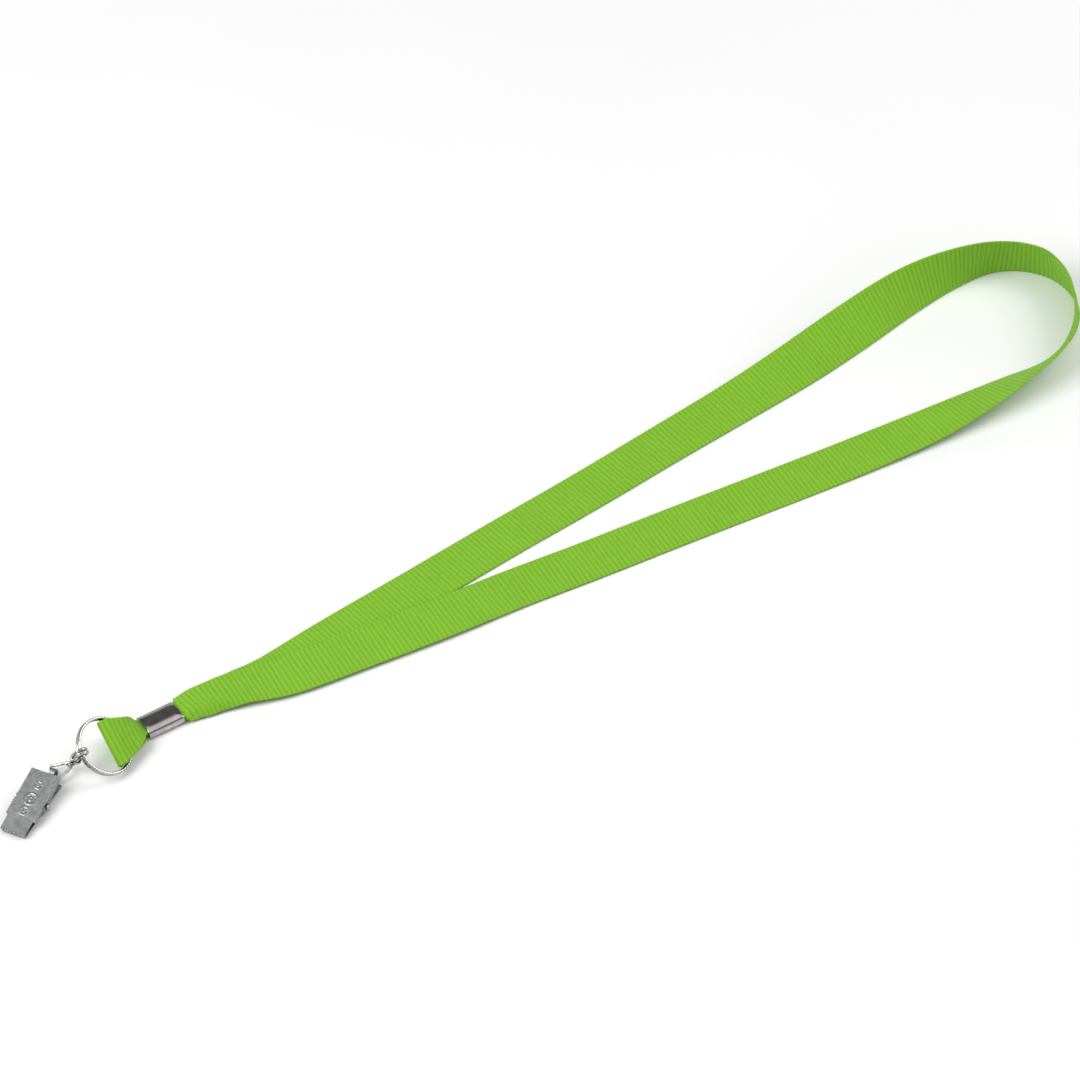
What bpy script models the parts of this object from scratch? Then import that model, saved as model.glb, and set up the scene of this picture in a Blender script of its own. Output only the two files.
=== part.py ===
"""Lanyard badge holder: ribbed neck strap, metal crimp, split ring, swivel and sprung clip.

The lanyard lies on a table. Lengths are in millimetres in LAYOUT coordinates: the origin is
under the crimp's right-hand mouth, +X runs along the lanyard to the far bend of the strap,
+Y is the strap's far side and +Z is up. The root empty moves the layout so that the centre of
the object's footprint is the world's origin.
"""

from math import atan2, cos, degrees, hypot, pi, radians, sin

import bmesh
import bpy
from mathutils import Matrix, Vector

MM = 0.001
COLLECTION = "lanyard_badge_holder"
ROOT_SHIFT = (-167.22, 4.54)  # layout origin, seen from the centre of the footprint
GAP = 0.3  # clearance between touching pieces

# strap
WEB_WIDTH = 20.0
WEB_THICKNESS = 0.8
WEB_STEP = 2.6  # distance between cross-sections
GATHERED_WIDTH = 8.2  # width of the webbing inside the crimp
LAYER_PITCH = WEB_THICKNESS + GAP

# crimp
CRIMP_LENGTH = 15.0
CRIMP_WIDTH = 10.2
CRIMP_WALL = 0.5
CRIMP_HEIGHT = 3 * WEB_THICKNESS + 4 * GAP + 2 * CRIMP_WALL
CRIMP_CENTRE_Z = CRIMP_HEIGHT / 2
CRIMP_SEAM = 0.5
CRIMP_CORNER = 1.1

# split ring
RING_OUTSIDE = 23.0
RING_WIRE = 1.2
RING_PITCH = RING_WIRE + GAP
RING_RADIUS = (RING_OUTSIDE - RING_WIRE) / 2
RING_CENTRE = Vector((-34.0, -5.3, 9.2))
RING_NORMAL = Vector((0.292, -0.511, 0.809)).normalized()
RING_JOG = radians(24)  # the stretch in which the wire steps from one turn to the next

# swivel, with distances along its axis measured from the ring's wire
EYE_DIRECTION = Vector((-0.94, -0.08, 0.32))  # from the ring's centre to the eye
EYE_WIRE = 1.0
EYE_RADIUS = 2.3
EYE_SPACING = 1.4  # between the eye's two turns of wire
EYE_LEG = 1.75  # from the axis to each leg of the eye
EYE_WAIST = 2.4  # where the legs straighten
EYE_CROSSING = 2.85  # where the wire steps from one turn to the other
COLLAR_START, COLLAR_END = 3.7, 5.2
COLLAR_RADIUS = 2.3
POST_RADIUS = 0.65
POST_HEAD_RADIUS = 0.95
POST_HEAD_LENGTH = 0.5
BORE_GAP = 0.25  # between a pin and its bore
LINK_RADIUS, LINK_WIRE = 1.5, 0.8

# bail
BAIL_WIRE = 1.0
BAIL_APEX_RADIUS = 1.6
BAIL_CORNER_RADIUS = 1.0
BAIL_WIDTH = 7.0
BAIL_LENGTH = 7.4
BAIL_RISE = radians(14)
BAIL_YAW = radians(40)  # the bail hangs this far askew in the knuckle's loose bore

# clip, in its own frame: origin on the hinge pin, +X to the jaws, +Y to the near side, +Z up
SHEET = 0.5
KNUCKLE = Vector((-53.9, -0.95, 2.35))
CLIP_HEADING = radians(211.5)
KNUCKLE_X = -15.5
PIN_Z = 2.9
LEVER_Z = -2.3
KNUCKLE_RADIUS = 1.75
KNUCKLE_WIDTH = 2.0
JAW_TIP = 14.6
LEVER_WIDTH = 9.7
JAW_ANGLE = radians(12.5)
JAW_Z = 2.6
JAW_TAIL = -11.5
JAW_END = 15.0
JAW_WIDTH = 11.7
MOUTH_WIDTH = 10.1
MOUTH_START = 9.0
TOOTH_PITCH, TOOTH_DEPTH = 1.5, 0.45
LIP = 1.0
EAR_RADIUS = 1.8
PIN_RADIUS = 0.75
PIN_HEAD_RADIUS = 1.3
PIN_HOLE_RADIUS = PIN_RADIUS + BORE_GAP
SPRING_RADIUS, SPRING_WIRE, SPRING_TURNS = 1.3, 0.45, 4.5


def clear_scene():
    for thing in list(bpy.data.objects):
        bpy.data.objects.remove(thing, do_unlink=True)


def new_collection(name):
    made = bpy.data.collections.new(name)
    bpy.context.scene.collection.children.link(made)
    return made


def material(name, colour, roughness, metallic):
    made = bpy.data.materials.new(name)
    made.use_nodes = True
    shader = made.node_tree.nodes["Principled BSDF"]
    shader.inputs["Base Color"].default_value = (*colour, 1)
    shader.inputs["Roughness"].default_value = roughness
    shader.inputs["Metallic"].default_value = metallic
    made.diffuse_color = (*colour, 1)
    return made


def frame(origin, x_axis, z_axis):
    """A matrix whose +Z is z_axis and whose +X is x_axis made square to it."""
    z = Vector(z_axis).normalized()
    x = Vector(x_axis)
    x = (x - z * x.dot(z)).normalized()
    y = z.cross(x)
    turn = Matrix((x, y, z)).transposed().to_4x4()
    return Matrix.Translation(Vector(origin) * MM) @ turn


def empty(name, matrix, parent=None):
    made = bpy.data.objects.new(name, None)
    made.empty_display_size = 0.005
    PARTS.objects.link(made)
    made.parent = parent
    made.matrix_basis = matrix
    return made


def add(name, mesh, surface, parent, smooth_angle=35):
    """Link a mesh as a named sub-part that rides on parent."""
    made = bpy.data.objects.new(name, mesh)
    PARTS.objects.link(made)
    made.parent = parent
    mesh.materials.clear()
    mesh.materials.append(surface)
    mesh.shade_smooth()
    mesh.set_sharp_from_angle(angle=radians(smooth_angle))
    return made


def mesh_of(thing):
    """The evaluated mesh of a curve or of an object with modifiers; the object is removed."""
    bpy.context.view_layer.update()
    evaluated = thing.evaluated_get(bpy.context.evaluated_depsgraph_get())
    mesh = bpy.data.meshes.new_from_object(evaluated)
    bpy.data.objects.remove(thing, do_unlink=True)
    bm = bmesh.new()
    bm.from_mesh(mesh)
    bmesh.ops.remove_doubles(bm, verts=bm.verts, dist=1e-6)
    bm.to_mesh(mesh)
    bm.free()
    return mesh


def scratch_object(data):
    made = bpy.data.objects.new("scratch", data)
    CUTTERS.objects.link(made)
    return made


def wire_mesh(points, diameter, cyclic=False):
    """A round wire through points given in millimetres."""
    curve = bpy.data.curves.new("wire", "CURVE")
    curve.dimensions = "3D"
    curve.bevel_depth = diameter / 2 * MM
    curve.bevel_resolution = 2
    curve.use_fill_caps = True
    spline = curve.splines.new("POLY")
    spline.points.add(len(points) - 1)
    spline.use_cyclic_u = cyclic
    for slot, point in zip(spline.points, points):
        slot.co = (*(Vector(point) * MM), 1)
    return mesh_of(scratch_object(curve))


def outline_mesh(points, thickness, matrix=None):
    """A flat plate: a closed outline in X and Z, centred on Y = 0."""
    curve = bpy.data.curves.new("outline", "CURVE")
    curve.dimensions = "2D"
    curve.fill_mode = "BOTH"
    curve.extrude = thickness / 2 * MM
    spline = curve.splines.new("POLY")
    spline.points.add(len(points) - 1)
    spline.use_cyclic_u = True
    for slot, (x, z) in zip(spline.points, points):
        slot.co = (x * MM, z * MM, 0, 1)
    mesh = mesh_of(scratch_object(curve))
    mesh.transform(Matrix.Rotation(pi / 2, 4, "X"))
    if matrix:
        mesh.transform(matrix)
    return mesh


def bent_sheet_mesh(profile, width, thickness):
    """A pressed sheet: an open profile in X and Z, width across Y, thickness centred on it."""
    curve = bpy.data.curves.new("profile", "CURVE")
    curve.dimensions = "2D"
    curve.extrude = width / 2 * MM
    spline = curve.splines.new("POLY")
    spline.points.add(len(profile) - 1)
    for slot, (x, z) in zip(spline.points, profile):
        slot.co = (x * MM, z * MM, 0, 1)
    ribbon = mesh_of(scratch_object(curve))
    ribbon.transform(Matrix.Rotation(pi / 2, 4, "X"))
    thing = scratch_object(ribbon)
    solid = thing.modifiers.new("thickness", "SOLIDIFY")
    solid.thickness = thickness * MM
    solid.offset = 0
    solid.use_even_offset = True
    return mesh_of(thing)


def box_mesh(low, high):
    bm = bmesh.new()
    bmesh.ops.create_cube(bm, size=1)
    size = Vector(high) - Vector(low)
    centre = (Vector(high) + Vector(low)) / 2
    for vert in bm.verts:
        vert.co = Vector(a * b for a, b in zip(vert.co, size)) * MM + centre * MM
    mesh = bpy.data.meshes.new("box")
    bm.to_mesh(mesh)
    bm.free()
    return mesh


def cylinder_mesh(radius, start, end, axis="Z", segments=24):
    """A cylinder between two heights on one axis."""
    bm = bmesh.new()
    bmesh.ops.create_cone(
        bm, cap_ends=True, segments=segments, radius1=radius * MM, radius2=radius * MM,
        depth=(end - start) * MM,
    )
    mesh = bpy.data.meshes.new("cylinder")
    bm.to_mesh(mesh)
    bm.free()
    mesh.transform(Matrix.Translation((0, 0, (start + end) / 2 * MM)))
    if axis == "Y":
        mesh.transform(Matrix.Rotation(-pi / 2, 4, "X"))
    return mesh


def combine(mesh, other, operation):
    """One Boolean step, applied."""
    base, tool = scratch_object(mesh), scratch_object(other)
    step = base.modifiers.new(operation.lower(), "BOOLEAN")
    step.operation = operation
    step.solver = "EXACT"
    step.object = tool
    result = mesh_of(base)
    bpy.data.objects.remove(tool, do_unlink=True)
    return result


def arc(centre, radius, start, end, steps):
    """Points of an arc in a plane, with angles in degrees."""
    angles = [radians(start + (end - start) * i / steps) for i in range(steps + 1)]
    return [(centre[0] + radius * cos(a), centre[1] + radius * sin(a)) for a in angles]


# --- strap -----------------------------------------------------------------------------------

# The strap's route, as its inner edge: x, y, height, roll in degrees, width and lean of the
# cross-section. Roll 0 lies flat with the outer edge outwards, and roll 90 stands on the inner
# edge. It starts in the crimp, runs out along the far side, round the bend and back on top.
LAYER_2 = CRIMP_CENTRE_Z
LAYER_1 = CRIMP_CENTRE_Z + LAYER_PITCH
FAR_SIDE = (
    (-14.6, -4.1, LAYER_2, 0, GATHERED_WIDTH),
    (-8.0, -4.1, LAYER_2, 0, GATHERED_WIDTH),
    (0.5, -4.1, LAYER_2, 0, GATHERED_WIDTH),
    (9, -6.4, 1.9, 0, 13.0),
    (23, -10.2, 1.2, 0, 17.2),
    (41, -11.7, 0.6, 0, 19.6),
    (70, -8.6, 0.6, 0, WEB_WIDTH),
    (110, -4.8, 0.6, 0, WEB_WIDTH),
    (152, -0.6, 0.6, 0, WEB_WIDTH),
    (192, 2.8, 0.6, 1, WEB_WIDTH),
    (232, 6.9, 0.7, 2, WEB_WIDTH),
    (273, 10.6, 0.7, 7, WEB_WIDTH),
    (302, 13.4, 0.7, 19, WEB_WIDTH),
    (330, 17.7, 0.6, 36, WEB_WIDTH),
    (358, 23.0, 0.5, 58, WEB_WIDTH),
    (380, 25.9, 0.2, 81, WEB_WIDTH),
    (397, 25.4, 0.2, 97, WEB_WIDTH),
)
BEND = (
    (408, 19.8, 0.2, 102, WEB_WIDTH),
    (415, 11.0, 0.2, 104, WEB_WIDTH),
    (417, 1.0, 0.2, 106, WEB_WIDTH),
    (415, -9.5, 0.2, 106, WEB_WIDTH),
    (408, -18.6, 0.2, 99, WEB_WIDTH),
    (397, -25.2, 0.2, 80, WEB_WIDTH),
)
NEAR_SIDE = (
    (383, -28.2, 0.5, 56, WEB_WIDTH),
    (364, -26.2, 0.6, 35, WEB_WIDTH),
    (345, -24.4, 0.6, 20, WEB_WIDTH),
    (318, -22.2, 0.7, 6, WEB_WIDTH),
    (272, -18.2, 0.7, 0, WEB_WIDTH),
    (219, -13.0, 0.7, 0, WEB_WIDTH),
    (174, -9.0, 0.8, 0, WEB_WIDTH),
    (140, -5.6, 1.1, 0, WEB_WIDTH),
    (108, -3.6, 1.8, 0, WEB_WIDTH),
    (76, -0.2, 1.8, 0, WEB_WIDTH),
    (46, 2.9, 2.0, 0, 19.6),
    (26, 5.0, 2.6, 0, 16.2),
    (10, 5.4, 3.2, 0, 12.2),
    (0.5, 4.1, LAYER_1, 0, GATHERED_WIDTH),
    (-8.0, 4.1, LAYER_1, 0, GATHERED_WIDTH),
    (-15.6, 4.1, LAYER_1, 0, GATHERED_WIDTH),
)

# The ring loop: from the crimp's left mouth, round the ring's wire and back as layer 3.
FOLD_ALONG = Vector((0, -0.866, -0.5))  # the fold's crease, nearly in the ring's plane
FOLD_ALONG = (FOLD_ALONG - RING_NORMAL * FOLD_ALONG.dot(RING_NORMAL)).normalized()
FOLD_OUT = FOLD_ALONG.cross(RING_NORMAL)  # in the ring's plane, from the crimp to the crease
FOLD_START = RING_CENTRE - FOLD_OUT * 4.2
FOLD_DEPTH = 2.2
FOLD_WIDTH = 18.4
POCKET = 2.15  # half the distance between the loop's walls over the ring


def catmull(points, step):
    """Points spread along a smooth curve through every point given, each a tuple."""
    rows = [Vector(p) for p in points]
    rows = [rows[0] * 2 - rows[1]] + rows + [rows[-1] * 2 - rows[-2]]
    out = []
    for a, b, c, d in zip(rows, rows[1:], rows[2:], rows[3:]):
        length = hypot(c[0] - b[0], c[1] - b[1], c[2] - b[2])
        count = max(2, round(length / step))
        for i in range(count):
            t = i / count
            out.append(
                (b * 2 + (c - a) * t + (a * 2 - b * 5 + c * 4 - d) * t * t
                 + (b * 3 - a - c * 3 + d) * t * t * t) / 2
            )
    out.append(rows[-2].copy())
    return out


def neck_loop_sections():
    """(centre, half of the width as a vector) along the neck loop."""
    rows = catmull([Vector(p) for p in FAR_SIDE + BEND + NEAR_SIDE], WEB_STEP)
    sections = []
    for i, row in enumerate(rows):
        ahead, behind = rows[min(i + 1, len(rows) - 1)], rows[max(i - 1, 0)]
        along = Vector((ahead[0] - behind[0], ahead[1] - behind[1], 0)).normalized()
        outward = Vector((-along.y, along.x, 0))
        roll = radians(row[3])
        half = (outward * cos(roll) + Vector((0, 0, 1)) * sin(roll)) * row[4] / 2
        sections.append((Vector(row[:3]) + half, half))
    return sections


def ease(t):
    t = min(1, max(0, t))
    return t * t * (3 - 2 * t)


def ring_loop_sections():
    """The same for the loop that holds the ring, from the top layer round to the bottom one."""
    mouth = Vector((-CRIMP_LENGTH - 0.4, 0, CRIMP_CENTRE_Z))
    wall = []
    for i in range(1, 8):
        t = i / 7
        centre = mouth.lerp(FOLD_START, t)
        centre -= RING_NORMAL * RING_NORMAL.dot(centre - RING_CENTRE) * ease(t / 0.4)
        normal = Vector((0, 0, 1)).lerp(RING_NORMAL, ease(t / 0.6)).normalized()
        lift = LAYER_PITCH + (POCKET - LAYER_PITCH) * ease(t / 0.5)
        width = GATHERED_WIDTH + (FOLD_WIDTH - GATHERED_WIDTH) * t
        half = Vector((0, -1, 0)).lerp(FOLD_ALONG, ease(t / 0.6)).normalized() * width / 2
        wall.append((centre, normal * lift, half))
    sections = [(centre + lift, half) for centre, lift, half in wall]
    for angle in (60, 30, 0, -30, -60):
        turn = radians(angle)
        reach = FOLD_OUT * FOLD_DEPTH * cos(turn) + RING_NORMAL * POCKET * sin(turn)
        sections.append((FOLD_START + reach, FOLD_ALONG * FOLD_WIDTH / 2))
    return sections + [(centre - lift, half) for centre, lift, half in reversed(wall)]


def tail_sections():
    """Layer 3: the webbing's tail, back through the crimp."""
    height = CRIMP_CENTRE_Z - LAYER_PITCH
    return [
        (Vector((x, 0, height)), Vector((0, -GATHERED_WIDTH / 2, 0))) for x in (-15.6, -8, -1.5)
    ]


def build_strap(surface):
    """One length of webbing: neck loop, ring loop and tail, as a thickened strip."""
    bm = bmesh.new()
    previous = None
    for centre, half in neck_loop_sections() + ring_loop_sections() + tail_sections():
        row = [bm.verts.new((centre + half * k) * MM) for k in (-1, -0.5, 0, 0.5, 1)]
        if previous:
            for a, b, c, d in zip(previous, previous[1:], row[1:], row):
                bm.faces.new((a, b, c, d))
        previous = row
    mesh = bpy.data.meshes.new("webbing")
    bm.to_mesh(mesh)
    bm.free()
    strap = add("webbing_strap", mesh, surface, ROOT)
    solid = strap.modifiers.new("thickness", "SOLIDIFY")
    solid.thickness = WEB_THICKNESS * MM
    solid.offset = 0


# --- crimp -----------------------------------------------------------------------------------


def build_crimp(surface):
    """A strip of metal wrapped round the three layers, its ends meeting underneath."""
    top = (CRIMP_HEIGHT - CRIMP_WALL) / 2
    x, z = (CRIMP_WIDTH - CRIMP_WALL) / 2 - CRIMP_CORNER, top - CRIMP_CORNER
    profile = [(-CRIMP_SEAM / 2, -top)]
    profile += arc((-x, -z), CRIMP_CORNER, 270, 180, 4) + arc((-x, z), CRIMP_CORNER, 180, 90, 4)
    profile += arc((x, z), CRIMP_CORNER, 90, 0, 4) + arc((x, -z), CRIMP_CORNER, 0, -90, 4)
    profile += [(CRIMP_SEAM / 2, -top)]
    mesh = bent_sheet_mesh(profile, CRIMP_LENGTH, CRIMP_WALL)
    mesh.transform(Matrix.Rotation(pi / 2, 4, "Z"))
    crimp = add("crimp", mesh, surface, ROOT)
    crimp.location = Vector((-CRIMP_LENGTH / 2, 0, CRIMP_CENTRE_Z)) * MM


# --- ring ------------------------------------------------------------------------------------


def build_split_ring(surface):
    """Two flat turns of wire, joined by a short step, in the ring's own frame."""
    total = 4 * pi - RING_JOG
    steps = 108
    points = []
    for i in range(steps + 1):
        angle = total * i / steps
        t = min(1, max(0, (angle - (2 * pi - RING_JOG)) / RING_JOG))
        height = RING_PITCH * (t * t * (3 - 2 * t) - 0.5)
        points.append((RING_RADIUS * cos(angle), RING_RADIUS * sin(angle), height))
    add("split_ring", wire_mesh(points, RING_WIRE), surface, RING_AXIS)


# --- swivel ----------------------------------------------------------------------------------


def build_swivel_eye(surface):
    """A wire bent twice over the ring, in the swivel's frame: +Z runs to the clip."""
    hairpin = [(y, -z) for y, z in arc((0, 0), EYE_RADIUS, -20, 200, 11)]
    start = [(EYE_LEG, COLLAR_START - GAP), (EYE_LEG, EYE_WAIST)]
    end = [(-EYE_LEG, EYE_WAIST), (-EYE_LEG, EYE_CROSSING)]
    path = start + hairpin + end
    half = EYE_SPACING / 2
    points = [(-half, y, z) for y, z in path] + [(half, y, z) for y, z in reversed(path)]
    add("swivel_eye", wire_mesh(points, EYE_WIRE), surface, EYE_AXIS)


def build_swivel_collar(surface):
    """The bush that the eye's wire is set in and the post turns in."""
    body = cylinder_mesh(COLLAR_RADIUS, COLLAR_START, COLLAR_END, segments=28)
    bore = cylinder_mesh(POST_RADIUS + BORE_GAP, COLLAR_START - 1, COLLAR_END + 1)
    add("swivel_collar", combine(body, bore, "DIFFERENCE"), surface, EYE_AXIS)


def build_swivel_post(surface):
    """A headed post that ends in a small ring for the bail."""
    head_end = COLLAR_START - GAP
    mesh = cylinder_mesh(POST_HEAD_RADIUS, head_end - POST_HEAD_LENGTH, head_end)
    shaft_start = head_end - POST_HEAD_LENGTH / 2
    shaft = cylinder_mesh(POST_RADIUS, shaft_start, LINK_CENTRE - LINK_RADIUS)
    mesh = combine(mesh, shaft, "UNION")
    steps = 24
    circle = [(LINK_RADIUS * cos(2 * pi * i / steps), 0, LINK_RADIUS * sin(2 * pi * i / steps))
              for i in range(steps)]
    ring = wire_mesh(circle, LINK_WIRE, cyclic=True)
    ring.transform(Matrix.Translation((0, 0, LINK_CENTRE * MM)))
    ring.transform(Matrix.Rotation(POST_TURN, 4, "Z"))
    add("swivel_post", combine(mesh, ring, "UNION"), surface, EYE_AXIS)


def build_bail(surface):
    """A triangular wire link, in a frame at the knuckle: +Y along its base, +Z to its apex."""
    half = BAIL_WIDTH / 2
    lean = degrees(atan2(BAIL_LENGTH, half - BAIL_APEX_RADIUS))
    apex = arc((0, BAIL_LENGTH - BAIL_APEX_RADIUS), BAIL_APEX_RADIUS, 90 - lean, 90 + lean, 8)
    r = BAIL_CORNER_RADIUS
    right = arc((half - r, r), r, -90, 90 - lean, 6)
    left = [(-y, z) for y, z in reversed(right)]
    points = [(0, y, z) for y, z in right + apex + left]
    add("bail", wire_mesh(points, BAIL_WIRE, cyclic=True), surface, BAIL_AXIS)


# --- clip ------------------------------------------------------------------------------------


def build_rear_lever(surface):
    """The lower jaw: flat sheet, two ears for the pin and a tongue rolled into a knuckle."""
    knuckle = (KNUCKLE_X, KNUCKLE.z - PIN_Z)
    profile = [(JAW_TIP, LEVER_Z), (KNUCKLE_X + 2.2, LEVER_Z)]
    profile += arc(knuckle, KNUCKLE_RADIUS, -90, -345, 17)
    mesh = bent_sheet_mesh(profile, LEVER_WIDTH, SHEET)
    for side in (-1, 1):
        low, high = sorted((side * KNUCKLE_WIDTH / 2, side * 6))
        cutter = box_mesh((-19, low, -4), (KNUCKLE_X + 2.6, high, 3))
        mesh = combine(mesh, cutter, "DIFFERENCE")
    ear = [(-3.0, LEVER_Z - 0.1)] + arc((0, 0), EAR_RADIUS - 0.1, 200, -20, 12)
    ear += [(3.0, LEVER_Z - 0.1)]
    for side in (-1, 1):
        place = Matrix.Translation((0, side * (LEVER_WIDTH - SHEET - 0.06) / 2 * MM, 0))
        mesh = combine(mesh, outline_mesh(ear, SHEET, place), "UNION")
    hole = cylinder_mesh(PIN_HOLE_RADIUS, -8, 8, "Y")
    mesh = combine(mesh, hole, "DIFFERENCE")
    add("rear_lever", mesh, surface, CLIP_AXIS)


def build_front_jaw(surface):
    """The upper jaw: flat sheet with side flanges, a narrower mouth and a toothed lip."""
    profile = [(JAW_TAIL, JAW_Z), (JAW_END, JAW_Z), (JAW_END + 0.15, JAW_Z - LIP)]
    mesh = bent_sheet_mesh(profile, JAW_WIDTH, SHEET)
    for side in (-1, 1):
        low, high = sorted((side * MOUTH_WIDTH / 2, side * 7))
        cutter = box_mesh((MOUTH_START, low, 0), (20, high, 4))
        mesh = combine(mesh, cutter, "DIFFERENCE")
    flange = [(JAW_TAIL + 0.3, JAW_Z + 0.1), (JAW_TAIL + 0.3, JAW_Z - 1.3)]
    flange += arc((0, 0), EAR_RADIUS, 235, 345, 9)
    flange += [(4.2, JAW_Z + 0.1)]
    for side in (-1, 1):
        place = Matrix.Translation((0, side * (JAW_WIDTH - SHEET - 0.06) / 2 * MM, 0))
        mesh = combine(mesh, outline_mesh(flange, SHEET, place), "UNION")
    mesh = combine(mesh, cylinder_mesh(PIN_HOLE_RADIUS, -8, 8, "Y"), "DIFFERENCE")
    mesh = combine(mesh, tooth_cutter(), "DIFFERENCE")
    add("front_jaw", mesh, surface, JAW_AXIS)


def tooth_cutter():
    """A saw-toothed bar that notches the lower edge of the lip."""
    count = 7
    base = JAW_Z - LIP - 0.6
    edge = JAW_Z - LIP - 0.1
    start = -count * TOOTH_PITCH / 2
    points = [(start, base)]
    for i in range(count):
        points += [(start + i * TOOTH_PITCH, edge),
                   (start + (i + 0.5) * TOOTH_PITCH, edge + TOOTH_DEPTH)]
    points += [(-start, edge), (-start, base)]
    mesh = outline_mesh(points, 2)
    mesh.transform(Matrix.Rotation(pi / 2, 4, "Z"))
    mesh.transform(Matrix.Translation(((JAW_END + 0.1) * MM, 0, 0)))
    return mesh


def build_pivot_pin(surface):
    """The rivet that the two jaws turn on, with a head at each end."""
    inner = JAW_WIDTH / 2 + GAP
    mesh = cylinder_mesh(PIN_RADIUS, -inner - 0.3, inner + 0.3, "Y")
    for side in (-1, 1):
        low, high = sorted((side * inner, side * (inner + 0.7)))
        head = cylinder_mesh(PIN_HEAD_RADIUS, low, high, "Y")
        mesh = combine(mesh, head, "UNION")
    add("pivot_pin", mesh, surface, CLIP_AXIS)


def build_torsion_spring(surface):
    """A coil round the pin, one leg under the front jaw's tail and one on the rear lever."""
    steps = round(SPRING_TURNS * 16)
    pitch = SPRING_WIRE + GAP
    width = pitch * SPRING_TURNS
    points = [(-8.0, -width / 2, -1.55), (-4.0, -width / 2, -1.4)]
    for i in range(steps + 1):
        angle = -pi / 2 + 2 * pi * SPRING_TURNS * i / steps
        points.append((SPRING_RADIUS * cos(angle), width * (i / steps - 0.5),
                       SPRING_RADIUS * sin(angle)))
    points += [(-4.0, width / 2, 2.1), (-8.0, width / 2, 3.0)]
    add("torsion_spring", wire_mesh(points, SPRING_WIRE), surface, CLIP_AXIS)


# --- assembly --------------------------------------------------------------------------------

clear_scene()
PARTS = new_collection(COLLECTION)
CUTTERS = new_collection("cutters")
ROOT = empty("lanyard", Matrix.Translation(Vector((*ROOT_SHIFT, 0)) * MM))

# the ring's frame: +Z is its axis, and the wire's step lies inside the ring loop
RING_AXIS = empty("ring_axis", frame(RING_CENTRE, (1, 0.1, 0), RING_NORMAL), ROOT)

# the swivel's frame: origin in the ring's wire, +X along the wire, +Z towards the clip
CLIP_BACK = Vector((-cos(CLIP_HEADING), -sin(CLIP_HEADING), 0))
BAIL_BACK = Matrix.Rotation(-BAIL_YAW, 3, "Z") @ CLIP_BACK
BAIL_UP = BAIL_BACK * cos(BAIL_RISE) + Vector((0, 0, 1)) * sin(BAIL_RISE)
BAIL_BASE = Vector((0, 0, 1)).cross(BAIL_BACK)
EYE_DIRECTION = (EYE_DIRECTION - RING_NORMAL * EYE_DIRECTION.dot(RING_NORMAL)).normalized()
WIRE_CENTRE = RING_CENTRE + EYE_DIRECTION * RING_RADIUS
WIRE_TANGENT = RING_NORMAL.cross(EYE_DIRECTION)
APEX = KNUCKLE + BAIL_UP * BAIL_LENGTH
LINK_CENTRE = (APEX - WIRE_CENTRE).length
SWIVEL = (APEX - WIRE_CENTRE).normalized()
EYE_AXIS = empty("eye_axis", frame(WIRE_CENTRE, WIRE_TANGENT, SWIVEL), ROOT)
ACROSS = EYE_AXIS.matrix_basis.to_3x3().inverted() @ BAIL_BASE
POST_TURN = atan2(ACROSS.y, ACROSS.x) - pi / 2

# the bail's frame: origin at the knuckle, +Y along its base, +Z to its apex
BAIL_AXIS = empty("bail_axis", frame(KNUCKLE, BAIL_BASE.cross(BAIL_UP), BAIL_UP), ROOT)

# the clip's frame: origin on the pin
PIN = KNUCKLE + CLIP_BACK * KNUCKLE_X
PIN.z = PIN_Z
CLIP_AXIS = empty("clip_axis", frame(PIN, -CLIP_BACK, (0, 0, 1)), ROOT)
JAW_AXIS = empty("jaw_axis", Matrix.Rotation(JAW_ANGLE, 4, "Y"), CLIP_AXIS)

WEBBING = material("green_webbing", (0.23, 0.55, 0.035), 0.85, 0.0)
NICKEL = material("nickel_plate", (0.62, 0.61, 0.59), 0.28, 1.0)
DARK_CHROME = material("dark_chrome", (0.45, 0.43, 0.43), 0.18, 1.0)
PRESSED_STEEL = material("pressed_steel", (0.50, 0.51, 0.50), 0.38, 1.0)
SPRING_STEEL = material("spring_steel", (0.36, 0.36, 0.37), 0.35, 1.0)

build_strap(WEBBING)
build_crimp(DARK_CHROME)
build_split_ring(NICKEL)
build_swivel_eye(NICKEL)
build_swivel_collar(NICKEL)
build_swivel_post(NICKEL)
build_bail(NICKEL)
build_rear_lever(PRESSED_STEEL)
build_front_jaw(PRESSED_STEEL)
build_pivot_pin(DARK_CHROME)
build_torsion_spring(SPRING_STEEL)
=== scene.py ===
"""The looks of the lanyard badge holder: ribbed webbing, plated wire and pressed metal.

Lengths are in millimetres in LAYOUT coordinates, as in the CAD: the origin is under the crimp's
right-hand mouth, +X runs to the far bend of the strap and +Z is up.
"""

from math import cos, hypot, pi, radians, sin

import bmesh
import bpy
import numpy as np
from mathutils import Matrix, Vector


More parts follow.
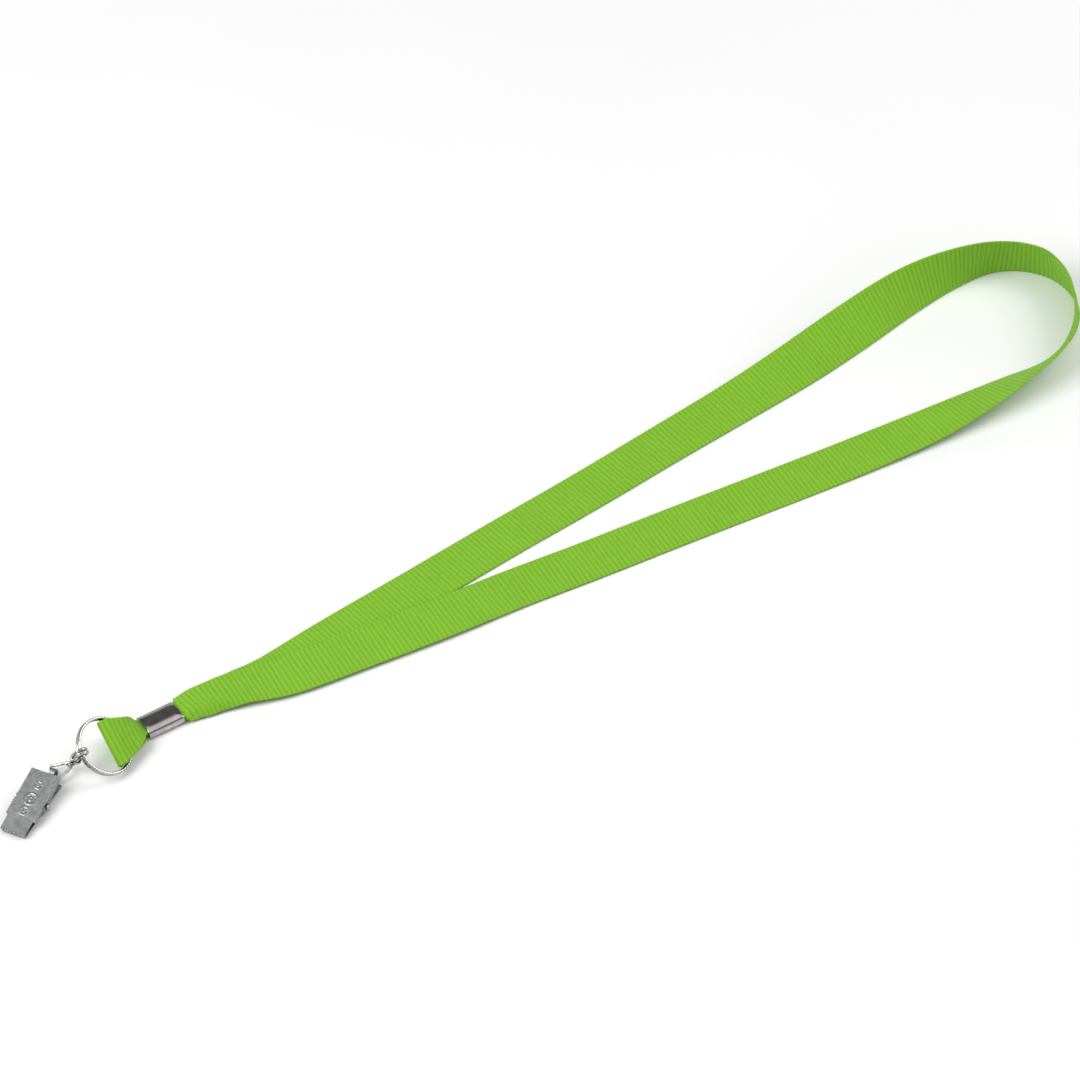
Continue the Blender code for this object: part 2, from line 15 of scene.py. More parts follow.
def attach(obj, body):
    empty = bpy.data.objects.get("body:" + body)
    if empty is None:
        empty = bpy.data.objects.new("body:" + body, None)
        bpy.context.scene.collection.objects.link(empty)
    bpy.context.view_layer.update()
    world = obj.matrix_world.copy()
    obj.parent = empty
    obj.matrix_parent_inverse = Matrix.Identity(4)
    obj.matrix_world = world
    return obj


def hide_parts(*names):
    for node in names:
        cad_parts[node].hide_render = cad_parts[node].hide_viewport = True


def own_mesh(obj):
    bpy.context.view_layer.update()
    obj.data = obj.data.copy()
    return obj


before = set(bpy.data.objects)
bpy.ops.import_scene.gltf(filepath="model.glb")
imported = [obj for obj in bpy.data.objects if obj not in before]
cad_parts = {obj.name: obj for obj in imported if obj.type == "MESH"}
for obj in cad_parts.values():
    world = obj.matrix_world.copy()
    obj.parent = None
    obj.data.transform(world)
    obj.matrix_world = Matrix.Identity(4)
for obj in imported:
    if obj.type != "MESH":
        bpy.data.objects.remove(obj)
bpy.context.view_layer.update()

MM = 0.001
ROOT_SHIFT = Vector((-167.22, 4.54, 0))

# camera
VIEW_AZIMUTH, VIEW_ELEVATION = radians(-33.6), radians(46)
VIEW_DISTANCE = 2.0
VIEW_TARGET = Vector((-0.00452, 0.00594, 0))
LENS, SENSOR = 173.33, 36.0
CLIP_START, CLIP_END = 0.05, 20

# studio
FLOOR_REACH = 6
# brightness of the surroundings by the sine of their height above the horizon
SKY_BANDS = ((0.0, 0.2), (0.1, 0.3), (0.28, 0.85), (0.48, 0.6), (0.6, 0.13), (0.8, 0.12),
             (0.91, 1.1), (1.0, 1.1))

# webbing
WARP_PITCH, TWIST_PITCH = 0.00036, 0.00042  # the material's threads, in metres
# the darker colour is painted shade for the grooves between ribs, the lighter one the lit rib
# crowns
WEB_SHADE, WEB_LIGHT = (0.136, 0.334, 0.0135), (0.220, 0.487, 0.0240)
WEB_WIDTH = 20.0
WEB_STEP = 2.6
GATHERED_WIDTH = 8.2
LAYER_PITCH = 1.1
CRIMP_LENGTH = 15.0
CRIMP_CENTRE_Z = 2.3
CRIMP_OUTSIDE = (5.1, 2.3, 3.2)  # half-width, half-height and squareness of the oval
CRIMP_INSIDE = (4.62, 1.82, 5.0)
CRIMP_STEPS = 72
RIB_PITCH = 1.9
ROWS_PER_RIB = 7
GROOVE_HALF = 0.25  # half of the thickness in the groove between two ribs
RIB_RISE = 0.16  # height of a rib above the groove
SELVAGE_RISE = 0.2  # how far each rib's loop stands out at the selvage
SIDE_COLUMNS = (-0.975, -0.92, -0.84, -0.7, -0.45, -0.15, 0.15, 0.45, 0.7, 0.84, 0.92, 0.975)
EDGE_ROUNDING = 0.06  # share of the half-width in which the edge rounds off
CROWN = 2.7  # rise of the rolled webbing next to the crimp
CROWN_SINK = 1.1  # how far it settles again along its edges and top
LOWER_TUCK = 0.17  # share by which the lower strand's near side is drawn in there
EDGE_TUCK = 1.9  # how far the upper strand's near edge rolls down there
RIB_BOW = 1.6  # how far gathering bends the ribs

# split ring
RING_CENTRE = Vector((-34.0, -5.3, 9.2))
RING_NORMAL = Vector((0.292, -0.511, 0.809)).normalized()

# clip
PIN = Vector((-0.234336, -0.004509, 0.0029))
CLIP_HEADING = radians(211.5)
JAW_ANGLE = radians(12.5)
PLATE_TOP = 2.85  # outer face of the front jaw, from the pin
PANEL = (-10.6, 8.4, 5.0)  # the pressed panel: from, to and half of the width
PANEL_STEP = 0.14
EMBOSS_RISE = 0.24
BOSSES = ((-5.6, 1.5, 6), (0.6, 2.35, 8), (5.9, 1.6, 6))  # place, radius, petals
TOOTH_REACH = 0.65
LIP_FACE = (15.3, 1.5, 2.8)  # outer face of the mouth's lip: x, lower and upper z
LIP_TEETH, LIP_PITCH = 8, 1.2
SIDE_TEETH, SIDE_PITCH, SIDE_FIRST, SIDE_FACE = 7, 1.05, 2.0, 5.82


# --- materials -------------------------------------------------------------------------------


class Nodes:
    """A small builder for a Principled material."""

    def __init__(self, name):
        self.material = bpy.data.materials.new(name)
        self.material.use_nodes = True
        self.tree = self.material.node_tree
        self.shader = self.tree.nodes["Principled BSDF"]

    def add(self, kind, **settings):
        node = self.tree.nodes.new(kind)
        for key, value in settings.items():
            setattr(node, key, value)
        return node

    def link(self, source, target):
        self.tree.links.new(source, target)

    def math(self, operation, a, b=None, c=None):
        node = self.add("ShaderNodeMath", operation=operation)
        for slot, value in zip(node.inputs, (a, b, c)):
            if value is None:
                continue
            if isinstance(value, (int, float)):
                slot.default_value = value
            else:
                self.link(value, slot)
        return node.outputs[0]

    def ramp(self, source, low, high, dark, light):
        """A value mapped from low..high to dark..light."""
        node = self.add("ShaderNodeMapRange")
        self.link(source, node.inputs["Value"])
        limits = {"From Min": low, "From Max": high, "To Min": dark, "To Max": light}
        for key, value in limits.items():
            node.inputs[key].default_value = value
        return node.outputs["Result"]

    def noise(self, vector, scale, detail=3.0, roughness=0.5):
        node = self.add("ShaderNodeTexNoise")
        self.link(vector, node.inputs["Vector"])
        node.inputs["Scale"].default_value = scale
        node.inputs["Detail"].default_value = detail
        node.inputs["Roughness"].default_value = roughness
        return node.outputs["Fac"]

    def mix(self, factor, dark, light):
        node = self.add("ShaderNodeMix", data_type="RGBA")
        self.link(factor, node.inputs["Factor"])
        node.inputs["A"].default_value = (*dark, 1)
        node.inputs["B"].default_value = (*light, 1)
        return node.outputs["Result"]

    def bump(self, height, distance, strength=1.0, before=None):
        node = self.add("ShaderNodeBump")
        node.inputs["Distance"].default_value = distance
        node.inputs["Strength"].default_value = strength
        self.link(height, node.inputs["Height"])
        if before:
            self.link(before, node.inputs["Normal"])
        return node.outputs["Normal"]

    def set(self, **sockets):
        for key, value in sockets.items():
            self.shader.inputs[key.replace("_", " ")].default_value = value

    def drive(self, key, source):
        self.link(source, self.shader.inputs[key])


def webbing_material():
    """Polyester grosgrain: fine warp threads over cross ribs, with painted shade in the grooves.
    """
    n = Nodes("ribbed_webbing_cloth")
    uv = n.add("ShaderNodeUVMap", uv_map="strap")
    split = n.add("ShaderNodeSeparateXYZ")
    n.link(uv.outputs["UV"], split.inputs[0])
    along, across = split.outputs[0], split.outputs[1]
    place = n.add("ShaderNodeTexCoord").outputs["Object"]

    waver = n.noise(place, 900, 2)
    wavered = n.math("MULTIPLY_ADD", waver, 0.00012, across)
    warp = n.math("SINE", n.math("MULTIPLY", wavered, 2 * pi / WARP_PITCH))
    warp = n.math("MULTIPLY_ADD", warp, 0.5, 0.5)
    twist = n.math("SINE", n.math("MULTIPLY", n.math("ADD", along, across), 2 * pi / TWIST_PITCH))
    thread = n.math("MULTIPLY_ADD", twist, 0.18, warp)
    fuzz = n.noise(place, 5200, 2, 0.7)

    rib = n.add("ShaderNodeAttribute", attribute_name="rib").outputs["Fac"]
    # painted shade: darker in the grooves between ribs, lighter on the rib crowns
    shade = n.ramp(rib, 0.15, 1.0, 0.0, 1.0)
    shade = n.math("MULTIPLY_ADD", warp, 0.12, n.math("MULTIPLY", shade, 0.88))
    patch = n.ramp(n.noise(place, 55, 3), 0.3, 0.7, -0.07, 0.07)
    shade = n.math("ADD", shade, patch)
    shade = n.math("MULTIPLY_ADD", fuzz, 0.16, n.math("ADD", shade, -0.08))
    n.drive("Base Color", n.mix(shade, WEB_SHADE, WEB_LIGHT))
    n.drive("Roughness", n.ramp(fuzz, 0.3, 0.7, 0.74, 0.92))
    weave = n.bump(thread, 0.00005, 0.55)
    n.drive("Normal", n.bump(fuzz, 0.00004, 0.35, weave))
    n.set(Specular_IOR_Level=0.28, Sheen_Weight=0.22, Sheen_Roughness=0.45,
          Sheen_Tint=(0.75, 1.0, 0.45, 1))
    return n.material


def plated_material(name, dark, light, smooth, rough, scratch=0.35):
    """Bright plating on wire or strip: faint clouding, fine scratches and small pits."""
    n = Nodes(name)
    place = n.add("ShaderNodeTexCoord").outputs["Object"]
    cloud = n.noise(place, 260, 4, 0.6)
    squeeze = n.add("ShaderNodeMapping")
    squeeze.inputs["Scale"].default_value = (1.0, 7.0, 3.0)
    squeeze.inputs["Rotation"].default_value = (0.3, 0.2, 0.6)
    n.link(place, squeeze.inputs["Vector"])
    scratches = n.noise(squeeze.outputs["Vector"], 1500, 5, 0.7)
    pits = n.noise(place, 3800, 2, 0.4)
    n.drive("Base Color", n.mix(n.ramp(cloud, 0.35, 0.65, 0, 1), dark, light))
    gloss = n.ramp(n.math("MULTIPLY_ADD", scratches, 0.5, n.math("MULTIPLY", cloud, 0.5)),
                   0.35, 0.65, smooth, rough)
    n.drive("Roughness", gloss)
    n.drive("Normal", n.bump(pits, 0.00001, scratch, n.bump(scratches, 0.00001, scratch)))
    n.set(Metallic=1.0)
    return n.material


def pressed_material(name, heading):
    """Satin-plated pressed sheet: grain along the clip."""
    n = Nodes(name)
    place = n.add("ShaderNodeTexCoord").outputs["Object"]
    turn = n.add("ShaderNodeMapping", vector_type="TEXTURE")
    turn.inputs["Rotation"].default_value = (0, 0, heading)
    n.link(place, turn.inputs["Vector"])
    stretch = n.add("ShaderNodeMapping")
    stretch.inputs["Scale"].default_value = (0.09, 1.0, 0.5)
    n.link(turn.outputs["Vector"], stretch.inputs["Vector"])
    grain = n.noise(stretch.outputs["Vector"], 5200, 4, 0.65)
    cloud = n.noise(place, 420, 4, 0.6)
    speck = n.noise(place, 2600, 3, 0.6)
    tone = n.math("MULTIPLY_ADD", grain, 0.55, n.math("MULTIPLY", cloud, 0.45))
    tone = n.ramp(tone, 0.38, 0.62, 0, 1)
    n.drive("Base Color", n.mix(tone, (0.20, 0.21, 0.205), (0.38, 0.39, 0.385)))
    rough = n.math("MULTIPLY_ADD", grain, 0.5, n.math("MULTIPLY", speck, 0.5))
    n.drive("Roughness", n.ramp(rough, 0.35, 0.65, 0.30, 0.52))
    n.drive("Normal", n.bump(speck, 0.00003, 0.25, n.bump(grain, 0.00002, 0.5)))
    n.set(Metallic=1.0)
    return n.material


def floor_material():
    n = Nodes("floor_paper")
    place = n.add("ShaderNodeTexCoord").outputs["Object"]
    tone = n.ramp(n.noise(place, 6, 2), 0.3, 0.7, 0, 1)
    n.drive("Base Color", n.mix(tone, (0.86, 0.86, 0.86), (0.88, 0.88, 0.88)))
    n.set(Roughness=0.9, Specular_IOR_Level=0.1)
    return n.material


WEBBING = webbing_material()
NICKEL = plated_material("nickel_wire", (0.40, 0.39, 0.38), (0.56, 0.55, 0.535), 0.06, 0.16)
DARK_CHROME = plated_material(
    "dark_chrome_strip", (0.40, 0.36, 0.36), (0.54, 0.50, 0.50), 0.07, 0.17)
PRESSED = pressed_material("pressed_sheet", CLIP_HEADING)
SPRING = plated_material("spring_wire", (0.20, 0.20, 0.21), (0.33, 0.33, 0.34), 0.25, 0.4)


# --- webbing ---------------------------------------------------------------------------------

LAYER_2 = CRIMP_CENTRE_Z
LAYER_1 = CRIMP_CENTRE_Z + LAYER_PITCH
# inner edge x, y, height, roll in degrees, width: out along the far side, round and back
ROUTE = (
    (-14.6, -4.1, LAYER_2, 0, GATHERED_WIDTH),
    (-8.0, -4.1, LAYER_2, 0, GATHERED_WIDTH),
    (0.5, -4.1, LAYER_2, 0, GATHERED_WIDTH),
    (9, -6.4, 1.9, 0, 13.0),
    (23, -10.2, 1.2, 0, 17.2),
    (41, -11.7, 0.6, 0, 19.6),
    (70, -8.6, 0.6, 0, WEB_WIDTH),
    (110, -4.8, 0.6, 0, WEB_WIDTH),
    (152, -0.6, 0.6, 0, WEB_WIDTH),
    (192, 2.8, 0.6, 1, WEB_WIDTH),
    (232, 6.9, 0.7, 2, WEB_WIDTH),
    (273, 10.6, 0.7, 7, WEB_WIDTH),
    (302, 13.4, 0.7, 19, WEB_WIDTH),
    (330, 17.7, 0.6, 36, WEB_WIDTH),
    (358, 23.0, 0.5, 58, WEB_WIDTH),
    (380, 25.9, 0.2, 81, WEB_WIDTH),
    (397, 25.4, 0.2, 97, WEB_WIDTH),
    (408, 19.8, 0.2, 102, WEB_WIDTH),
    (415, 11.0, 0.2, 104, WEB_WIDTH),
    (417, 1.0, 0.2, 106, WEB_WIDTH),
    (415, -9.5, 0.2, 106, WEB_WIDTH),
    (408, -18.6, 0.2, 99, WEB_WIDTH),
    (397, -25.2, 0.2, 80, WEB_WIDTH),
    (383, -28.2, 0.5, 56, WEB_WIDTH),
    (364, -26.2, 0.6, 35, WEB_WIDTH),
    (345, -24.4, 0.6, 20, WEB_WIDTH),
    (318, -22.2, 0.7, 6, WEB_WIDTH),
    (272, -18.2, 0.7, 0, WEB_WIDTH),
    (219, -13.0, 0.7, 0, WEB_WIDTH),
    (174, -9.0, 0.8, 0, WEB_WIDTH),
    (140, -5.6, 1.1, 0, WEB_WIDTH),
    (108, -3.6, 1.8, 0, WEB_WIDTH),
    (76, -0.2, 1.8, 0, WEB_WIDTH),
    (46, 2.9, 2.0, 0, 19.6),
    (26, 5.0, 2.6, 0, 16.2),
    (10, 5.4, 3.2, 0, 12.2),
    (0.5, 4.1, LAYER_1, 0, GATHERED_WIDTH),
    (-8.0, 4.1, LAYER_1, 0, GATHERED_WIDTH),
    (-15.6, 4.1, LAYER_1, 0, GATHERED_WIDTH),
)

# the fold of webbing that holds the ring: its line, the way out of it and its pocket
FOLD_ALONG = Vector((0, -0.866, -0.5))
FOLD_ALONG = (FOLD_ALONG - RING_NORMAL * FOLD_ALONG.dot(RING_NORMAL)).normalized()
FOLD_OUT = FOLD_ALONG.cross(RING_NORMAL)
FOLD_START = RING_CENTRE - FOLD_OUT * 4.2
FOLD_DEPTH = 2.2
FOLD_WIDTH = 18.4
POCKET = 2.15


def catmull(points, step):
    """Points spread along a smooth curve through every point given."""
    rows = [Vector(p) for p in points]
    rows = [rows[0] * 2 - rows[1]] + rows + [rows[-1] * 2 - rows[-2]]
    out = []
    for a, b, c, d in zip(rows, rows[1:], rows[2:], rows[3:]):
        length = hypot(c[0] - b[0], c[1] - b[1], c[2] - b[2])
        count = max(2, round(length / step))
        for i in range(count):
            t = i / count
            out.append((b * 2 + (c - a) * t + (a * 2 - b * 5 + c * 4 - d) * t * t
                        + (b * 3 - a - c * 3 + d) * t * t * t) / 2)
    out.append(rows[-2].copy())
    return out


def ease(t):
    """A soft step from 0 to 1 for a plain number."""
    t = min(1, max(0, t))
    return t * t * (3 - 2 * t)


def neck_loop_sections():
    """(centre, half of the width as a vector) along the neck loop."""
    rows = catmull(ROUTE, WEB_STEP)
    sections = []
    for i, row in enumerate(rows):
        ahead, behind = rows[min(i + 1, len(rows) - 1)], rows[max(i - 1, 0)]
        along = Vector((ahead[0] - behind[0], ahead[1] - behind[1], 0)).normalized()
        outward = Vector((-along.y, along.x, 0))
        roll = radians(row[3])
        half = (outward * cos(roll) + Vector((0, 0, 1)) * sin(roll)) * row[4] / 2
        sections.append((Vector(row[:3]) + half, half))
    return sections


def ring_loop_sections():
    """The same for the loop that holds the ring, from the top layer round to the bottom one."""
    mouth = Vector((-CRIMP_LENGTH - 0.4, 0, CRIMP_CENTRE_Z))
    wall = []
    for i in range(1, 8):
        t = i / 7
        centre = mouth.lerp(FOLD_START, t)
        centre -= RING_NORMAL * RING_NORMAL.dot(centre - RING_CENTRE) * ease(t / 0.4)
        normal = Vector((0, 0, 1)).lerp(RING_NORMAL, ease(t / 0.6)).normalized()
        lift = LAYER_PITCH + (POCKET - LAYER_PITCH) * ease(t / 0.5)
        width = GATHERED_WIDTH + (FOLD_WIDTH - GATHERED_WIDTH) * t
        half = Vector((0, -1, 0)).lerp(FOLD_ALONG, ease(t / 0.6)).normalized() * width / 2
        wall.append((centre, normal * lift, half))
    sections = [(centre + lift, half) for centre, lift, half in wall]
    for angle in (60, 30, 0, -30, -60):
        turn = radians(angle)
        reach = FOLD_OUT * FOLD_DEPTH * cos(turn) + RING_NORMAL * POCKET * sin(turn)
        sections.append((FOLD_START + reach, FOLD_ALONG * FOLD_WIDTH / 2))
    return sections + [(centre - lift, half) for centre, lift, half in reversed(wall)]


def tail_sections():
    """The same for the tail, the bottom layer in the crimp."""
    height = CRIMP_CENTRE_Z - LAYER_PITCH
    return [(Vector((x, 0, height)), Vector((0, -GATHERED_WIDTH / 2, 0)))
            for x in (-15.6, -8, -1.5)]


def smooth_rows(sections):
    """Centres and half-widths resampled at equal steps along the webbing, as arrays."""
    data = np.array([[*centre, *half] for centre, half in sections])
    gaps = np.linalg.norm(np.diff(data[:, :3], axis=0), axis=1)
    at = np.concatenate([[0], np.cumsum(gaps)])
    slope = np.gradient(data, at, axis=0)
    count = int(round(at[-1] / RIB_PITCH)) * ROWS_PER_RIB
    s = np.linspace(0, at[-1], count + 1)
    i = np.clip(np.searchsorted(at, s, side="right") - 1, 0, len(at) - 2)
    h = (at[i + 1] - at[i])[:, None]
    t = ((s - at[i]) / h[:, 0])[:, None]
    out = ((2 * t**3 - 3 * t**2 + 1) * data[i] + (t**3 - 2 * t**2 + t) * h * slope[i]
           + (3 * t**2 - 2 * t**3) * data[i + 1] + (t**3 - t**2) * h * slope[i + 1])
    return s, out[:, :3], out[:, 3:]


def eased(t):
    """The same soft step for an array."""
    t = np.clip(t, 0, 1)
    return t * t * (3 - 2 * t)


def crown(x, y):
    """Height added to both strands where the webbing rolls together next to the crimp."""
    amount = eased((x - 0.2) / 3.0) * eased((44.0 - x) / 34.0)
    reach = 6.0 + 0.25 * np.clip(x, 0, 40)
    arch = 1 - np.clip(np.abs(y - 0.2) / reach, 0, 1.12) ** 2.8
    wrinkle = 0.16 * np.sin(y * 1.7 + x * 0.12) * eased((26.0 - x) / 20.0)
    return amount * (CROWN * arch + wrinkle - CROWN_SINK * eased((26.0 - x) / 26.0))


def spread(x, y):
    """Widens the webbing where it springs open beyond the crimp's right-hand mouth."""
    return y * (1 + 0.42 * eased((x - 0.1) / 1.6) * eased((16.0 - x) / 14.5))


def tuck(x):
    """0 to 1: how much the near edges are tucked in, next to the crimp's right-hand mouth."""
    return eased((x - 0.3) / 2.7) * eased((26.0 - x) / 12.0)


def rib_height(s, v, half_width):
    """0 in a groove to 1 on a rib; ribs waver a little and bow where the webbing is gathered."""
    waver = 0.1 * np.sin(0.31 * s + 2.2 * v) + 0.07 * np.sin(1.13 * s - 3.1 * v)
    bow = RIB_BOW * v * v * (1 - half_width * 2 / WEB_WIDTH)
    return np.abs(np.sin(pi * (s + waver + bow) / RIB_PITCH)) ** 0.62


def build_webbing():
    """The strap as one closed sheet of ribs, and its length in metres."""
    s, centre, half = smooth_rows(neck_loop_sections() + ring_loop_sections() + tail_sections())
    width = np.linalg.norm(half, axis=1, keepdims=True)
    across = half / width
    along = np.gradient(centre, axis=0)
    normal = np.cross(along, across)
    normal /= np.linalg.norm(normal, axis=1, keepdims=True)
    columns = [(-1.0, 0.0)] + [(v, 1.0) for v in SIDE_COLUMNS]
    columns += [(1.0, 0.0)] + [(v, -1.0) for v in reversed(SIDE_COLUMNS)]
    rows, cols = len(s), len(columns)
    points = np.empty((rows, cols, 3))
    ribs = np.empty((rows, cols))
    outgoing = np.arange(rows) < rows // 2
    for j, (v, side) in enumerate(columns):
        rib = rib_height(s, v, width[:, 0])
        ribs[:, j] = rib
        thick = (GROOVE_HALF + RIB_RISE * rib)[:, None]
        edge = max(0.0, (abs(v) - (1 - EDGE_ROUNDING)) / EDGE_ROUNDING)
        lobe = SELVAGE_RISE * (rib[:, None] - 0.6) * abs(v) ** 14
        spot = centre + across * (width + lobe) * v
        spot = spot + normal * thick * side * (1 - edge * edge) ** 0.5
        tucked = tuck(spot[:, 0])
        lower = outgoing & (spot[:, 1] < 0)
        spot[:, 1] *= np.where(lower, 1 - LOWER_TUCK * tucked, 1)
        spot[:, 2] -= np.where(outgoing, 0, EDGE_TUCK * tucked * eased((v - 0.7) / 0.3))
        points[:, j] = spot
    x, y = points[..., 0], points[..., 1]
    points[..., 1] = np.where((x > 0) & (x < 20), spread(x, y), y)
    points[..., 2] += np.where(x > 0, crown(x, points[..., 1]), 0.0)
    points = (points + np.array(ROOT_SHIFT)) * MM

    mesh = bpy.data.meshes.new("ribbed_webbing")
    grid = np.arange(rows * cols).reshape(rows, cols)
    a, b = grid[:-1], grid[1:]
    faces = np.stack([a, np.roll(a, -1, 1), np.roll(b, -1, 1), b], axis=-1).reshape(-1, 4)
    ends = [grid[0][::-1].tolist(), grid[-1].tolist()]
    mesh.from_pydata(points.reshape(-1, 3).tolist(), [], faces.tolist() + ends)
    # the rib height, which the cloth's colour uses as painted shade in the grooves
    marks = mesh.attributes.new("rib", "FLOAT", "POINT")
    marks.data.foreach_set("value", ribs.astype(np.float32).ravel())
    layer = mesh.uv_layers.new(name="strap")
    vertex = np.empty(len(mesh.loops), np.int64)
    mesh.loops.foreach_get("vertex_index", vertex)
    row, col = vertex // cols, vertex % cols
    v = np.array([c[0] for c in columns])[col]
    flat = np.stack([s[row] * MM, v * WEB_WIDTH / 2 * MM], axis=-1)
    layer.data.foreach_set("uv", flat.astype(np.float32).ravel())
    mesh.shade_smooth()
    mesh.materials.append(WEBBING)
    strap = bpy.data.objects.new("ribbed_webbing", mesh)
    bpy.context.scene.collection.objects.link(strap)
    bm = bmesh.new()
    bm.from_mesh(mesh)
    bmesh.ops.recalc_face_normals(bm, faces=bm.faces)
    bm.to_mesh(mesh)
    bm.free()
    return strap, float(s[-1]) * MM


webbing, webbing_length = build_webbing()
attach(webbing, "lanyard")
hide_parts("webbing_strap")


# --- metal -----------------------------------------------------------------------------------


def add_piece(name, points, faces, surface, body, smooth=True):
    """A new mesh piece in metres that rides on a body and takes a material slot's finish."""
    mesh = bpy.data.meshes.new(name)
    mesh.from_pydata([tuple(float(c) for c in p) for p in points], [], faces)
    bm = bmesh.new()
    bm.from_mesh(mesh)
    bmesh.ops.recalc_face_normals(bm, faces=bm.faces)
    bm.to_mesh(mesh)
    bm.free()
    if smooth:
        mesh.shade_smooth()
    mesh.materials.append(surface)
    piece = bpy.data.objects.new(name, mesh)
    bpy.context.scene.collection.objects.link(piece)
    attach(piece, body)
    return piece


def power_curve(angle, half_y, half_z, power):
    """A point of a flattened oval; the higher the power, the squarer the oval."""
    c, s = cos(angle), sin(angle)
    return (half_y * abs(c) ** (2 / power) * (1 if c > 0 else -1),
            half_z * abs(s) ** (2 / power) * (1 if s > 0 else -1))


def build_crimp():
    """The crimp: strip bent to a flattened tube, with eased ends and its seam underneath."""
    near, far = 0.0, -CRIMP_LENGTH
    profile = [(far + 0.25 + (near - far - 0.5) * i / 8, 0.0) for i in range(9)]
    profile += [(near - 0.08, 0.12), (near, 0.5), (near - 0.08, 0.88)]
    profile += [(x, 1.0) for x, _ in reversed(profile[:9])]
    profile += [(far + 0.08, 0.88), (far, 0.5), (far + 0.08, 0.12)]
    points = []
    for i in range(CRIMP_STEPS + 1):
        angle = radians(-90) + 2 * pi * (0.0006 + 0.9988 * i / CRIMP_STEPS)
        outer, inner = power_curve(angle, *CRIMP_OUTSIDE), power_curve(angle, *CRIMP_INSIDE)
        for x, t in profile:
            y, z = (a + (b - a) * t for a, b in zip(outer, inner))
            points.append((Vector((x, y, z + CRIMP_CENTRE_Z)) + ROOT_SHIFT) * MM)
    n = len(profile)
    faces = [(i * n + j, i * n + (j + 1) % n, (i + 1) * n + (j + 1) % n, (i + 1) * n + j)
             for i in range(CRIMP_STEPS) for j in range(n)]
    last = CRIMP_STEPS * n
    faces += [tuple(range(n))[::-1], tuple(range(last, last + n))]
    piece = add_piece("crimp_tube", points, faces, DARK_CHROME, "lanyard")
    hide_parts("crimp")


def dress(node, surface, bevel):
    """A CAD node stays and gets a finish, with eased edges."""
    give_finish(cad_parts[node], surface, bevel)


def fuller_wire(name, node, body, bevel=0.0, smooth=False, swell=0.0):
    """A piece that stands for a wire node: the same shape with the wire a little thicker."""
    piece = bpy.data.objects.new(name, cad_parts[node].data.copy())
    bpy.context.scene.collection.objects.link(piece)
    give_finish(piece, NICKEL, bevel, smooth, swell)
    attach(piece, body)
    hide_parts(node)


def build_spring():
    """The torsion spring, whose leg the front jaw presses down as it opens."""
    spring = bpy.data.objects.new("spring_coil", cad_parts["torsion_spring"].data.copy())
    bpy.context.scene.collection.objects.link(spring)
    spring.data.materials.clear()
    spring.data.materials.append(SPRING)
    spring.data.shade_smooth()
    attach(spring, "clip")
    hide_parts("torsion_spring")
    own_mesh(spring)


def give_finish(thing, surface, bevel=0.0, smooth=False, swell=0.0):
    """Gives a material, and modifiers that ease edges, thicken wire or round it."""
    thing.data.materials.clear()
    thing.data.materials.append(surface)
    weld = thing.modifiers.new("weld", "WELD")
    weld.merge_threshold = 1e-6
    if bevel:
        ease_edges = thing.modifiers.new("eased_edges", "BEVEL")
        ease_edges.width = bevel * MM
        ease_edges.segments = 2
        ease_edges.limit_method = "ANGLE"
        ease_edges.angle_limit = radians(40)
        ease_edges.harden_normals = True
    if swell:
        fuller = thing.modifiers.new("fuller", "DISPLACE")
        fuller.strength = swell * MM
        fuller.mid_level = 0
    if smooth:
        rounder = thing.modifiers.new("rounder", "SUBSURF")
        rounder.levels = rounder.render_levels = 1


build_crimp()
fuller_wire("ring_wire", "split_ring", "ring", smooth=True, swell=0.06)
fuller_wire("eye_wire", "swivel_eye", "eye", smooth=True, swell=0.17)
fuller_wire("collar_bush", "swivel_collar", "eye", bevel=0.2, swell=0.1)
fuller_wire("post_wire", "swivel_post", "post", swell=0.03)
fuller_wire("bail_wire", "bail", "bail_body", smooth=True, swell=0.13)
dress("rear_lever", PRESSED, bevel=0.07)
dress("front_jaw", PRESSED, bevel=0.07)
dress("pivot_pin", DARK_CHROME, bevel=0.15)
build_spring()


def emboss_height(x, y):
    """Height of the pressed pattern above the plate: a row of ringed, petalled bosses."""
    height = np.zeros_like(x)
    for x0, size, petals in BOSSES:
        r = np.hypot(x - x0, y) / size
        turn = np.arctan2(y, x - x0)
        height += np.exp(-((r - 1.0) / 0.12) ** 2)
        height += 0.9 * eased((0.53 - r) / 0.25) - 0.9 * eased((0.26 - r) / 0.15)
        height += 0.6 * np.exp(-((r - 0.74) / 0.1) ** 2) * (0.5 + 0.5 * np.cos(petals * turn))
    return height


def on_jaw(points):
    """Points given from the pin in the jaw's own directions, placed in the scene."""
    turn = Matrix.Rotation(CLIP_HEADING, 4, "Z") @ Matrix.Rotation(JAW_ANGLE, 4, "Y")
    place = Matrix.Translation(PIN) @ turn @ Matrix.Scale(MM, 4)
    return [place @ Vector(p) for p in points]


def build_embossing():
    """A thin pressed panel that rises out of the front jaw's outer face."""
    xs = np.arange(PANEL[0], PANEL[1] + 1e-6, PANEL_STEP)
    ys = np.arange(-PANEL[2], PANEL[2] + 1e-6, PANEL_STEP)
    x, y = np.meshgrid(xs, ys, indexing="ij")
    inset = np.minimum(np.minimum(x - xs[0], xs[-1] - x), PANEL[2] - np.abs(y))
    z = EMBOSS_RISE * emboss_height(x, y) + 0.02 - 0.12 * (1 - eased(inset / 0.5))
    local = np.stack([x, y, z + PLATE_TOP], axis=-1).reshape(-1, 3).tolist()
    nx, ny = x.shape
    grid = np.arange(nx * ny).reshape(nx, ny)
    faces = np.stack([grid[:-1, :-1], grid[1:, :-1], grid[1:, 1:], grid[:-1, 1:]], axis=-1)
    add_piece("jaw_embossing", on_jaw(local), faces.reshape(-1, 4).tolist(), PRESSED, "jaw")


